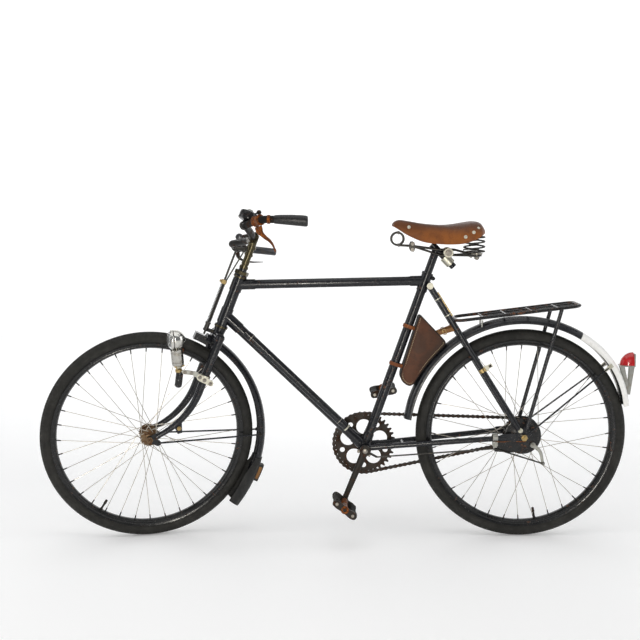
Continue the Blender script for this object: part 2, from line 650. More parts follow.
def front_hub():
    """Barrel hub with two spoke flanges, rusted, and the dust caps at its ends."""
    half = [(4.9, 0.5), (4.9, 40), (9, 40), (12.5, 39), (13.2, 36), (13.2, 32.2), (26.5, 31.6), (27, 30),
            (26.5, 28.4), (15, 27.5), (13, 22), (11.6, 10), (11.4, 0.5)]
    piece("front_hub_shell", "front_wheel",
          [(hub_rust, moved(ring_of(mirrored(half), FRONT, 56), turn))], ["front_hub"])


def rear_hub():
    """Hub barrel with a spoke flange on the right and the brake drum on the left."""
    section = [(4.9, -34), (13, -34), (17, -32.6), (17, -31.8), (26.5, -31.6), (27, -30), (26.5, -28.4),
               (18, -27), (17, -23), (17, 12), (24, 16), (44, 18), (58, 19.6), (59.2, 21.5), (58, 23.2),
               (52.6, 24), (52, 27), (53, 29), (52, 31), (52, 33), (53, 35), (52, 37), (52, 39.6),
               (4.9, 39.6)]
    piece("rear_hub_drum", "rear_wheel", [(dull_enamel, ring_of(section, REAR, 72))],
          ["rear_hub"])


flat_flange = (22.5, FLANGE_Y - 3.6, FLANGE_Y + 3.6)
drum_flange = (DRUM_R + 3.5, 17.9, 25.1)
for wheel, flanges, degrees in ((front, (flat_flange, flat_flange), -57.0),
                                (rear, (drum_flange, flat_flange), -100.5)):
    tyre(wheel)
    rim(wheel)
    spokes(wheel, flanges)
    valve(wheel, degrees)
front_hub()
rear_hub()

# Mudguards

TAIL_FROM = 130.0
TAIL_TIGHT = 85.0
TAIL_C = around(REAR, TAIL_TIGHT, TAIL_FROM)
REAR_GUARD = (7.5, 175.0)
FRONT_GUARD = (121.0, 204.0)
FLAP = (195.0, 222.0)
FLAP_HIGH, FLAP_HALF = (27.0, 46.0), (30.5, 40.5)     # depth and half width, at its top and flared
FLAP_FLARED = 0.45       # share of the flap's length where it is fully flared
FLAP_OVER, FLAP_CURL, FLAP_THICK = 2.8, 5.0, 3.0
SHEET_STEPS = 31
ROLL_STEPS = 9


def rolled_section(crest, high, wide, thick, bead):
    """Arched sheet of (radius, side) pairs whose two edges are rolled round a wire of radius bead."""
    a = np.radians(np.linspace(-88, 88, SHEET_STEPS))
    outer = np.stack([crest - high + high * np.cos(a), wide / 2 * np.sin(a)], -1)
    inner = np.stack([crest - high + (high - thick) * np.cos(a), (wide / 2 - thick) * np.sin(a)], -1)
    t = np.radians(np.linspace(20, 290, ROLL_STEPS))
    roll = np.stack([-bead * np.sin(t), bead * np.cos(t)], -1)
    edge = np.array([crest - high, wide / 2 - bead])
    left = edge + roll
    right = (edge + roll)[::-1] * [1, -1]
    return np.concatenate([outer, left, inner[::-1], right])


guard_section = rolled_section(GUARD_CREST, GUARD_HIGH, GUARD_WIDE, GUARD_SHEET, GUARD_BEAD)


def bent_sheet(section, degrees, centres, tighten=0.0):
    """A section swept along arcs: centre + (radius - tighten) along the angle. The centre and the
    tightening are the same all along, or one for each angle."""
    a = np.radians(degrees)[:, None]
    r = section[:, 0] - np.reshape(tighten, (-1, 1)) + 0 * a
    y = np.broadcast_to(section[:, 1], r.shape)
    grid = np.reshape(centres, (-1, 1, 3)) + np.stack([r * np.cos(a), y, r * np.sin(a)], -1) * MM
    return Surf(close_ends(grid), False, True)


def rear_guard():
    """Rear mudguard: one arc about the axle, then a tighter one to the white tail."""
    body = np.linspace(REAR_GUARD[0], TAIL_FROM, 120)
    tail = np.linspace(TAIL_FROM, REAR_GUARD[1], 46)[1:]
    degrees = np.concatenate([body, tail])
    in_tail = degrees > TAIL_FROM
    centres = np.where(in_tail[:, None], TAIL_C, REAR)
    grid = bent_sheet(guard_section, degrees, centres, np.where(in_tail, TAIL_TIGHT, 0.0)).grid
    inside = slice(SHEET_STEPS + ROLL_STEPS, 2 * SHEET_STEPS + ROLL_STEPS + 1)
    outside = np.roll(grid, ROLL_STEPS, 1)[:, :SHEET_STEPS + 2 * ROLL_STEPS + 1]
    piece("rear_mudguard_sheet", "frame",
          [(guard_enamel, Surf(outside, False, False)), (black_enamel, Surf(grid[:, inside], False, False))],
          ["rear_mudguard"], 30.0)


def front_guard():
    """Front mudguard: one arc behind the fork."""
    sheet = bent_sheet(guard_section, np.linspace(*FRONT_GUARD, 90), FRONT)
    piece("front_mudguard_sheet", "steering", [(black_enamel, moved(sheet, turn))],
          ["front_mudguard"], 30.0)


def mud_flap():
    """Deep rubber flap that laps the sheet's lower end: an arch whose depth and width flare
    with a smooth step down its length, and whose end curls outwards."""
    t = np.linspace(0, 1, 44)[:, None]
    flare = np.clip(t / FLAP_FLARED, 0, 1)
    flare = flare ** 2 * (3 - 2 * flare)
    a = np.radians(np.linspace(-90, 90, 33))
    crest = GUARD_CREST + FLAP_OVER + FLAP_CURL * t ** 2
    high = np.interp(flare, [0, 1], FLAP_HIGH)
    half = np.interp(flare, [0, 1], FLAP_HALF)

    def arch(inset):
        """Radius and side along the arch, drawn in by inset."""
        return np.stack([crest - high + (high - inset) * np.cos(a), (half - inset) * np.sin(a)])

    r, y = np.concatenate([arch(0.0), arch(FLAP_THICK)[:, :, ::-1]], -1)
    turn_by = np.radians(FLAP[0] + (FLAP[1] - FLAP[0]) * t)
    grid = FRONT + np.stack([r * np.cos(turn_by), y, r * np.sin(turn_by)], -1) * MM
    piece("mud_flap_rubber", "steering",
          [(flap_rubber, Surf(turn(close_ends(grid)), False, True))], ["mud_flap"], 40.0)


rear_guard()
front_guard()
mud_flap()

# Drive

CHAIN_PITCH = 15.875
RING_R = CHAIN_PITCH / (2 * np.sin(np.pi / 38))
COG_R = CHAIN_PITCH / (2 * np.sin(np.pi / 15))
CHAIN_Y = -47.0
LINK_END, LINK_WAIST = 5.6, 3.3     # half heights of a link's plates at the ends and the middle


def chain_line(u):
    """Points at lengths u along the chain's pitch line: two straight runs and two arcs."""
    gap = (REAR - BB)[[0, 2]] / MM
    axle_gap = np.hypot(*gap)
    base = np.arctan2(-gap[1], -gap[0])
    lean = np.arcsin((RING_R - COG_R) / axle_gap)
    run = np.sqrt(axle_gap ** 2 - (RING_R - COG_R) ** 2)
    arc_cog, arc_ring = COG_R * (np.pi - 2 * lean), RING_R * (np.pi + 2 * lean)
    total = 2 * run + arc_cog + arc_ring
    u = u * total
    up, down = base + np.pi / 2 + lean, base - np.pi / 2 - lean
    c, w = np.array(BB)[[0, 2]] / MM, np.array(REAR)[[0, 2]] / MM

    def arm(angle, radius):
        """From a wheel's middle out to a radius at an angle."""
        return np.stack([np.cos(angle), np.sin(angle)], -1) * radius

    f1 = np.clip(u / run, 0, 1)[:, None]
    f2 = np.clip((u - run - arc_cog) / run, 0, 1)[:, None]
    top = (c + arm(up, RING_R)) * (1 - f1) + (w + arm(up, COG_R)) * f1
    low = (w + arm(down, COG_R)) * (1 - f2) + (c + arm(down, RING_R)) * f2
    cog = w + arm(up + (u - run) / COG_R, COG_R)
    ring = c + arm(down + (u - 2 * run - arc_cog) / RING_R, RING_R)
    pick = np.searchsorted([run, run + arc_cog, 2 * run + arc_cog], u)[:, None]
    return np.select([pick == 0, pick == 1, pick == 2], [top, cog, low], ring), total


def chain():
    """Roller chain: waisted side plates, inner and outer by turns, with rollers and pins."""
    _, total = chain_line(np.zeros(1))
    links = 2 * round(total / CHAIN_PITCH / 2)
    flat, _ = chain_line(np.arange(links) / links)
    pins = np.stack([flat[:, 0], np.full(links, CHAIN_Y), flat[:, 1]], -1) * MM
    ahead = np.roll(pins, -1, 0)
    ex = unit(ahead - pins)
    ey = np.tile(LEFT, (links, 1))
    frames = np.stack([ex, ey, np.cross(ex, ey)], 1)
    bend = np.radians(np.array([-70, -35, 0, 35, 70]))
    end = np.stack([CHAIN_PITCH / 2 + LINK_END * np.cos(bend), LINK_END * np.sin(bend)], -1)
    outline = np.concatenate([end, [[0, LINK_WAIST]], end[::-1] * [-1, 1], [[0, -LINK_WAIST]]])
    parts = []
    for first, low, high in ((0, 4.1, 5.4), (1, 2.6, 3.9)):
        for sign in (1, -1):
            plate = slab(outline, sign * low, sign * high, np.zeros(3), X_AXIS, LEFT, Z_AXIS)
            parts.append((chain_rust, copies(plate, (pins + ahead)[first::2] / 2, frames[first::2])))
    for reach, radius in ((2.5, 4.0), (6.4, 2.1)):
        roller = rod(mm(0, -reach, 0), mm(0, reach, 0), radius, 8)
        parts.append((chain_rust, copies(Surf(roller.grid[0], False, True), pins, frames)))
    piece("roller_chain", "frame", parts, ["chain"])


CRANK_LEN = 170.0
CRANK_MID = 60.0
COTTER_AT = 9.0          # cotter pin along the crank from its axle
SPACER_Y = 53.1          # spacer between the right crank and the chain ring
PEDAL_IN = 74.0
PEDAL_W = 96.0
PEDAL_PLATE = 3.5        # thickness of a pedal's end plates
PEDAL_EDGE = 5.0         # rubber blocks in from the pedal's two ends
PLATE_LONG, PLATE_HIGH, PLATE_PINCH = 43.0, 13.0, 3.0     # end plates' half sizes, and their waist
BLOCK_X = 30.0           # rubber blocks from the pedal's spindle
BLOCK_LONG, BLOCK_HIGH, BLOCK_WAIST = 12.0, 12.4, 0.20
crank_dir = unit((place["left_pedal_spin"] - BB) * [1, 0, 1])


def oval(a, b, power=2.6, count=20):
    """Rounded-box section with half sizes a and b, in metres."""
    t = np.arange(count) / count * TAU
    ring = np.stack([signed_power(np.cos(t), 2 / power), signed_power(np.sin(t), 2 / power)], -1)
    return ring * np.stack(np.broadcast_arrays(a, b), -1)[..., None, :]


def cranks():
    """Cottered crank arms: round bosses, a tapering oval arm, the cotter with its nut, and the spindle."""
    share = np.linspace(0, 1, 24)
    wide = np.interp(share, [0, 0.1, 0.3, 0.9, 1], [13, 12, 10.5, 8.6, 9.5]) * MM
    thick = np.interp(share, [0, 0.3, 1], [6.6, 6.0, 5.6]) * MM
    for name, sign in (("left", 1), ("right", -1)):
        run, out = crank_dir * sign, LEFT * sign
        middle = BB + out * CRANK_MID * MM
        end = middle + run * CRANK_LEN * MM
        path = middle + run * (share[:, None] * (CRANK_LEN - 4) + 2) * MM
        boss = turned([(0, -6.8), (15.5, -6.8), (17, -5), (17, 5), (15.5, 6.8), (0, 6.8)], middle, LEFT, 36)
        eye = turned([(0, -6.4), (11.8, -6.4), (13, -5), (13, 5), (11.8, 6.4), (0, 6.4)], end, LEFT, 32)
        tip = end + out * (PEDAL_IN + PEDAL_W + 2 - CRANK_MID) * MM
        spindle = bars(end, tip, [(0, 0, 0), (0, 0, 6.0), (1, -1, 6.0), (1, 0, 5.0), (1, 0, 0)], 18)
        across = np.cross(run, out) * MM
        hole = middle + run * COTTER_AT * MM
        cotter = rod(hole - across * 21, hole + across * 22, (4.2, 3.2))
        nut = rod(hole + across * 15.5, hole + across * 20.5, 6.4, 6)
        cap = turned([(0, 7), (7.8, 7), (7.8, 9.5), (6, 10.4), (0, 10.4)], middle, out, 24)
        parts = made_of(black_rust, swept(path, oval(wide, thick)), boss, eye, spindle)
        parts += made_of(dull_steel, cotter, nut, cap)
        if sign < 0:
            spacer = turned([(0, 0), (17, 0), (17, 2.2), (0, 2.2)], BB - LEFT * SPACER_Y * MM, LEFT, 32)
            parts.append((black_rust, spacer))
        piece("crank_arm_" + name, "crank", parts, ["crank_" + name])


def pedals():
    """Block pedals: two waisted rubber blocks of four ribs, pinched end plates, barrel and dust cap."""
    share = np.linspace(0, 1, 40)
    lengths = PEDAL_EDGE + share * (PEDAL_W - 2 * PEDAL_EDGE)
    waist = 1 - BLOCK_WAIST * np.sin(np.pi * share) ** 2
    a = np.arange(48) / 48 * TAU
    ribs = 1 + 0.11 * np.cos(4 * (a - np.pi / 4)) + 0.025 * np.cos(12 * a)
    lobes = np.stack([BLOCK_LONG * ribs * np.cos(a), BLOCK_HIGH * ribs * np.sin(a)], -1)
    section = lobes * waist[:, None, None] * MM
    u = np.arange(40) / 40 * TAU
    pinch = PLATE_HIGH - PLATE_PINCH * np.exp(-(np.cos(u) / 0.32) ** 2)
    plate = np.stack([PLATE_LONG * signed_power(np.cos(u), 0.7), pinch * signed_power(np.sin(u), 0.6)], -1)
    barrel = [(6.1, 1), (10, 1), (11, 3), (11, 12), (9.4, 16), (9.4, 80), (11, 84), (11, 94),
              (12, 95), (12, 98), (9, 99.6), (6.1, 99.8)]
    for name, sign, tilt in (("left", 1, -38.0), ("right", -1, 12.0)):
        t = np.radians(tilt)
        ex = np.array([np.cos(t), 0, -np.sin(t)])
        ez = np.cross(ex, LEFT)
        out = LEFT * sign * MM
        inner = place[name + "_pedal_spin"] * [1, 0, 1] + out * PEDAL_IN
        parts = []
        for shift in (-BLOCK_X, BLOCK_X):
            root = inner + ex * shift * MM
            path = root + out * lengths[:, None]
            grid = path[:, None] + section[..., :1] * ex + section[..., 1:] * ez
            parts.append((block_rubber, Surf(close_ends(grid), False, True)))
            for y in (2.0, PEDAL_W - 2.0):
                parts.append((dull_steel, rod(root + out * (y - 3.6), root + out * (y + 3.6), 5.0, 6)))
        for low in (0.0, PEDAL_W - PEDAL_PLATE):
            high = low + PEDAL_PLATE
            parts.append((black_rust, slab(plate, sign * low, sign * high, inner, ex, LEFT, ez)))
        parts.append((orange_rust, ring_of(barrel, inner, 28, LEFT * sign)))
        piece("block_pedal_" + name, name + "_pedal", parts, ["pedal_" + name])


chain()
cranks()
pedals()

# Nuts, bolts and bands


def stud(a, b, radius, sides=20, ease=0.8):
    """A bolt, pin or nut from a to b with its rims eased; six sides make a hexagon."""
    return bars(a, b, [(0, 0, 0), (0, 0, radius - ease), (0, ease, radius), (1, -ease, radius),
                       (1, 0, radius - ease), (1, 0, 0)], sides)


def band(centre, axis, inner, outer, half, steps=40):
    """A flat ring round a tube, from inner to outer radius, with eased rims."""
    soft = min(0.6, half / 3)
    section = [(inner, -half), (outer - soft, -half), (outer, soft - half), (outer, half - soft),
               (outer - soft, half), (inner, half)]
    return ring_of(section, centre, steps, axis)


def bolted(spot, axis, radius, high):
    """Washer, hexagon and bolt end standing on a spot along an axis; radius is the hexagon's."""
    axis = unit(axis) * MM
    return [stud(spot, spot + axis * 1.6, radius * 1.35, 24, 0.4),
            stud(spot + axis * 1.6, spot + axis * (1.6 + high), radius, 6),
            stud(spot + axis * high, spot + axis * (high + 4.0), radius * 0.52, 14, 0.6)]


def both(parts):
    """Parts of the left side, and their mirror images on the right."""
    return parts + [(finish, moved(surf, lambda grid: grid * [1, -1, 1])) for finish, surf in parts]


def steered(parts):
    """Parts turned with the steering to its rest angle."""
    return [(finish, moved(surf, turn)) for finish, surf in parts]


# Saddle

# x, half width, crest height and skirt height of the leather, in millimetres from its low point
SADDLE_ROWS = np.array([
    (-119.0, 10.0, -20.0, -25.0), (-117.5, 32.0, -14.0, -25.0), (-114.0, 52.0, -8.0, -24.5),
    (-101.0, 88.0, 7.0, -30.0), (-82.0, 100.0, 11.0, -41.0), (-50.0, 98.0, 7.0, -52.0),
    (-16.0, 83.0, 1.5, -56.0), (22.0, 60.0, 0.0, -56.0), (71.0, 40.0, 4.0, -50.0), (114.0, 33.0, 11.0, -32.0),
    (143.0, 31.0, 15.0, -14.0), (158.0, 25.0, 9.5, -5.5), (164.0, 13.0, 3.0, -3.0), (165.4, 4.0, 0.0, -2.0),
])
LEATHER = 5.0
RIVETS = ((115.0, 28.0), (-50.0, 11.0), (-74.0, 18.0), (-90.0, 30.0))     # x, degrees up from the left edge
RIVET_HEAD = [(0, -1), (5.6, -1), (5.6, 0.5), (4.8, 1.9), (2.8, 2.9), (0, 3.2)]
SPRING_X, SPRING_Y, SPRING_R = -89.0, 62.0, 23.0
SPRING_LOW, SPRING_HIGH = -80.4, -34.4
SPRING_TURNS = 3.8
SEAT_TOP = 659.0                   # top of the seat post up the seat tube
CLAMP_BACK = np.radians(46.0)      # slope of the bent seat post that the clamp sits on
CLAMP_REACH = 70.0
SADDLE_CLAMP = on_seat(SEAT_TOP) + mm(14 - CLAMP_REACH * np.cos(CLAMP_BACK), 0,
                                      41 - CLAMP_REACH * np.sin(CLAMP_BACK))


def saddle_arch(rows, degrees, inset=0.0):
    """Arch over each row: y = half width * cos^0.62 and z = skirt + rise * sin^0.72 of the angle
    up from the left edge, with shallow hollows where the hide has sagged between its irons."""
    a = np.radians(degrees)
    x, wide, crest, skirt = np.asarray(rows, float).T[..., None]
    flank = np.sin(2 * a) ** 2
    y = np.maximum(wide - inset - 2.2 * flank * np.sin(x / 21.0) ** 2, 0.4) * signed_power(np.cos(a), 0.62)
    rise = np.maximum(crest - inset - skirt, 0.4) * np.abs(np.sin(a)) ** 0.72
    z = skirt + rise + 0.8 * flank * np.sin(x / 13.0 + a)
    return np.stack(np.broadcast_arrays(x, y, z), -1) * MM


def saddle_spot(x, degrees):
    """A point on the leather and the direction out of it there."""
    rows = [[np.interp(x + d, SADDLE_ROWS[:, 0], column) for column in SADDLE_ROWS.T] for d in (0.0, 2.0)]
    p = saddle_arch(rows, np.array([degrees, degrees + 2.0]))
    return p[0, 0], unit(np.cross(p[0, 1] - p[0, 0], p[1, 0] - p[0, 0]))


def saddle():
    """Saddle leather, a shell five millimetres thick with a soft lower edge, and its steel rivets."""
    rows = smooth_path(SADDLE_ROWS, 120)
    degrees = np.linspace(0, 180, 73)
    outer = saddle_arch(rows, degrees)
    inner = saddle_arch(rows, degrees, LEATHER)
    edge = (outer[:, [0, -1]] + inner[:, [0, -1]]) / 2 - Z_AXIS * 1.6 * MM
    shell = np.concatenate([outer, edge[:, 1:], inner[:, ::-1], edge[:, :1]], 1)
    shell = Surf(close_ends(shell), False, True)
    piece("saddle_hide_shell", "frame", [(saddle_hide, shell)], ["saddle_leather"], 60.0)
    spots = [saddle_spot(x, angle) for x, up in RIVETS for angle in (up, 180.0 - up)]
    heads = [turned(RIVET_HEAD, spot, out, 20) for spot, out in spots]
    piece("saddle_rivets", "frame", made_of(zinc, *heads))


def saddle_springs():
    """Two coil springs, whose height rises with the turns between flat end coils, on cups with nuts below."""
    u = np.linspace(0, 1, 190)
    a = u * SPRING_TURNS * TAU
    z = SPRING_LOW + (SPRING_HIGH - SPRING_LOW) * np.interp(u, [0, 0.16, 0.86, 1], [0, 0.05, 0.95, 1])
    coil = np.stack([SPRING_X + SPRING_R * np.cos(a), SPRING_Y + SPRING_R * np.sin(a), z], -1) * MM
    foot = mm(SPRING_X, SPRING_Y, SPRING_LOW - 8)
    cup = turned([(0, 0), (16.5, 0), (17.5, 1), (17.5, 4), (12, 5.5), (0, 6)], foot, Z_AXIS, 32)
    nut = bolted(foot - Z_AXIS * 7 * MM, -Z_AXIS, 7.5, 6.0)
    parts = made_of(dark_wire, tube(coil, 2.6, 10, Z_AXIS)) + made_of(dull_steel, cup, *nut)
    piece("saddle_coils", "frame", both(parts), ["saddle_springs"])


def saddle_irons():
    """Clip that holds the saddle's two front wires together, and the clamp's toothed discs, nuts and bolt."""
    clip = mm(102, 0, -67)
    outline = [(-7, -7), (-4, -15), (4, -15), (8, -6), (8, 6), (4, 15), (-4, 15), (-7, 7)]
    disc = [(0, 12), (14.5, 12), (15.5, 13), (15.5, 18), (14, 20), (14, 22.4), (15.4, 23), (15.4, 26.4),
            (13.6, 28), (0, 28)]
    parts = made_of(dark_wire, slab(outline, 20.5, 23.5, clip, X_AXIS, LEFT, Z_AXIS))
    for dz in (-9.0, 9.0):
        parts += made_of(dull_steel, *bolted(clip + mm(0.5, 23.4, dz), LEFT, 4.2, 3.0))
    parts += made_of(zinc, turned(disc, SADDLE_CLAMP, LEFT, 44))
    parts += made_of(dull_steel, *bolted(SADDLE_CLAMP + LEFT * 27.6 * MM, LEFT, 8.2, 5.5))
    piece("saddle_irons", "frame", both(parts))


saddle()
saddle_springs()
saddle_irons()

# Tool bag

BAG_EDGE = 23.5          # half width of the bag at its seams
BAG_BELLY = 5.0
GUSSET_SINK = 0.022      # share of the bag's size by which its gusset is sunk
PIPING_R = 1.8
BAG_EASE = (11, 22, 22, 60, 13)
SEAM_IN = 5.5            # stitches in from the edge
STITCH, STITCH_STEP = 3.7, 5.4
BUTTON = [(0, -2), (3, -2), (3, 2), (4.4, 3), (3.6, 5.4), (0, 6.4)]
bag_corners = np.array([on_seat(452, -19.3), on_seat(243, -27.3), around(REAR, 378, 23.0),
                        around(REAR, 375, 36.0), around(REAR, 374, 50.5)])


def run_lengths(line):
    """Lengths along a line of points, from its first one."""
    return np.concatenate([[0], np.cumsum(np.linalg.norm(np.diff(line, axis=0), axis=1))])


def at_length(line, u):
    """Points at lengths u along a line of points."""
    return np.stack([np.interp(u, run_lengths(line), line[:, k]) for k in range(3)], -1)


def rounded(corners, radii, count):
    """A closed outline round the corners, each eased by a curve that starts a radius before it.
    The points are evenly spaced along the outline."""
    p = np.asarray(corners, float)
    r = np.asarray(radii, float)[:, None] * MM
    before = p + unit(np.roll(p, 1, 0) - p) * r
    after = p + unit(np.roll(p, -1, 0) - p) * r
    t = np.linspace(0, 1, 11)[None, :, None]
    line = before[:, None] * (1 - t) ** 2 + 2 * p[:, None] * t * (1 - t) + after[:, None] * t ** 2
    line = line.reshape(-1, 3)
    line = np.concatenate([line, line[:1]])
    return at_length(line, np.linspace(0, run_lengths(line)[-1], count, endpoint=False))


def bag_belly(spots, share, top, tall):
    """How far the bag's side stands out: the belly swells by 1 - share^2.4 of the way out from its
    middle, more in the lower half, and the upper part is creased."""
    low = np.clip((top - spots[..., 2]) / tall, 0, 1)
    swell = (1 - share ** 2.4) * BAG_BELLY * (0.55 + 0.75 * low)
    crease = 0.9 * np.sin(spots[..., 0] * 95 + spots[..., 2] * 60) * share * (1 - share) * 4 * (1 - low)
    return BAG_EDGE + swell + crease


def tool_bag():
    """Tool bag: two bellied leather sides on a sunk gusset, with piping and a row of linen stitches."""
    outline = rounded(bag_corners, BAG_EASE, 150)
    middle = outline.mean(0)
    top, tall = outline[:, 2].max(), np.ptp(outline[:, 2])
    share = np.array([0.0, 0.12, 0.26, 0.4, 0.54, 0.66, 0.77, 0.86, 0.93, 0.975, 1.0])[:, None]
    ring = middle + (outline - middle) * share[..., None]
    side = ring + bag_belly(ring, share, top, tall)[..., None] * LEFT * MM
    depth = np.linspace(1.0, -1.0, 9)[:, None, None]
    gusset = middle + (outline - middle) * (1 - GUSSET_SINK * (1 - depth ** 2)) + LEFT * depth * BAG_EDGE * MM
    piping = tube(outline + LEFT * (BAG_EDGE - 0.6) * MM, PIPING_R, 8, closed=True)
    parts = both([(bag_hide, Surf(side, False, True)), (bag_edge, piping)])
    parts.append((bag_edge, Surf(gusset, False, True)))
    piece("tool_bag_shell", "frame", parts, ["tool_bag"], 60.0)
    inward = np.cross(np.roll(outline, -1, 0) - np.roll(outline, 1, 0), LEFT)
    inward = unit(inward) * np.sign(np.sum(inward * (middle - outline), 1))[:, None]
    seam = outline + inward * SEAM_IN * MM
    share = np.linalg.norm(seam - middle, axis=1) / np.linalg.norm(outline - middle, axis=1)
    seam = seam + LEFT * (bag_belly(seam, share, top, tall) + 0.35)[:, None] * MM
    line = np.concatenate([seam, seam[:1]])
    stop = run_lengths(line)[np.argmin(np.linalg.norm(outline - bag_corners[4], axis=1))]
    u = np.arange(4.0 * MM, stop, STITCH_STEP * MM)
    stitches = bars(at_length(line, u), at_length(line, u + STITCH * MM),
                    [(0, 0, 0), (0, 0.4, 0.95), (1, -0.4, 0.95), (1, 0, 0)], 6)
    piece("tool_bag_stitches", "frame", both(made_of(linen_thread, stitches)))


def bag_straps():
    """Leather bands round the seat tube and out to the seat stays, with their studs and buckles."""
    a = np.radians(np.linspace(-90, 90, 21))
    bow = np.stack([np.cos(a), np.sin(a)], -1) * 15.9
    parts = []
    for d, back in ((405.0, 30.0), (280.0, 38.0)):
        left_leg = np.array([(-8.0, 15.4), (-20.0, 13.2), (-back, 10.0)])
        flat = np.concatenate([(left_leg * [1, -1])[::-1], bow, left_leg])
        path = on_seat(d) + (flat[:, :1] * SEAT_FWD + flat[:, 1:] * LEFT) * MM
        loop = swept(smooth_path(path, 90, True), oval(1.25 * MM, 5.6 * MM, 6.0), SEAT_UP, True)
        button = turned(BUTTON, on_seat(d - 9.0, 2.0, 14.0), LEFT, 18)
        parts += [(strap_hide, loop), (black_rust, button)]
    path = mm((32, 17, -341), (11, 21, -333), (-10, 27.5, -326), (-27, 34.5, -320))
    side = swept(smooth_path(path, 24), oval(6.2 * MM, 1.25 * MM, 6.0))
    along = unit(path[2] - path[1]) * MM
    across = np.cross(along, LEFT)
    hold = path[1] * 0.55 + path[2] * 0.45 + LEFT * 1.6 * MM
    corners = [hold + along * x + across * z for x, z in ((-5, -8.5), (5, -8.5), (5, 8.5), (-5, 8.5))]
    buckle = tube(rounded(corners, (3, 3, 3, 3), 40), 1.3, 8, closed=True)
    parts += both([(tan_strap, side), (brass, buckle)])
    piece("bag_strap_bands", "frame", parts, ["bag_straps"], 50.0)


tool_bag()
bag_straps()

# Rear brake and frame fittings

STAY_BOLT = on_seat(547.0, -17.0)
STAY_RUN = unit(STAY_BOLT - REAR)
DOWN_HIGH = on_head(437.0)
DOWN_RUN = unit(BB - DOWN_HIGH)
LEVER_AT = 222.0         # rear brake lever's pivot, degrees up from forward about the axle
LEVER_OUT = 9.5          # lever outside the brake plate
ARM_END = mm(-156.02, 55.6, -655.6)


def on_stay(d, y):
    """Point d up the line of the seat stays from the rear axle."""
    return REAR + STAY_RUN * d * MM + LEFT * y * MM


def brake_plate():
    """Dished plate over the brake drum, with its lever, pivot and bolts, and a rusted seam along its arm."""
    dish = [(4.9, 40.5), (55, 40.5), (57, 41.3), (57.8, 43.2), (56.6, 45.6), (54, 46.5), (50, 45.4),
            (36, 46.0), (26, 48.4), (20, 49.0), (11, 49.0), (4.9, 48.4)]
    pivot = around(REAR, 42.0, LEVER_AT, PLATE_Y)
    tip = around(REAR, 61.0, LEVER_AT, PLATE_Y) + mm(-18, LEVER_OUT, -45)
    root = pivot + LEFT * LEVER_OUT * MM
    path = smooth_path([root, (root + tip) / 2 + mm(-7, 0, 8), tip], 30)
    lever = swept(path, oval(np.linspace(6.5, 4.4, 30) * MM, 1.7 * MM, 4.0))
    boss = turned([(0, 5), (9, 5), (9, 8), (7.5, 11.5), (0, 11.5)], pivot, LEFT, 28)
    stop = REAR + mm(12, 70, 22)
    seam = REAR + mm((86, 61.2, -14.5), (60, 59, -15.5), (34, 57.6, -12.5), (14, 57, -15), (-8, 56, -15.5))
    parts = made_of(dull_enamel, ring_of(dish, REAR, 80))
    parts += made_of(galvanized, lever, boss, *bolted(pivot + LEFT * 11.4 * MM, LEFT, 6.0, 4.0),
                     *bolted(tip + LEFT * 1.5 * MM, LEFT, 4.6, 3.6))
    parts += made_of(zinc, stud(stop - LEFT * 24 * MM, stop, 4.4, 16), *bolted(stop, LEFT, 5.6, 3.0))
    parts += made_of(orange_rust, tube(smooth_path(seam, 40), 1.3, 8))
    piece("brake_plate_dish", "frame", parts, ["brake_plate"])


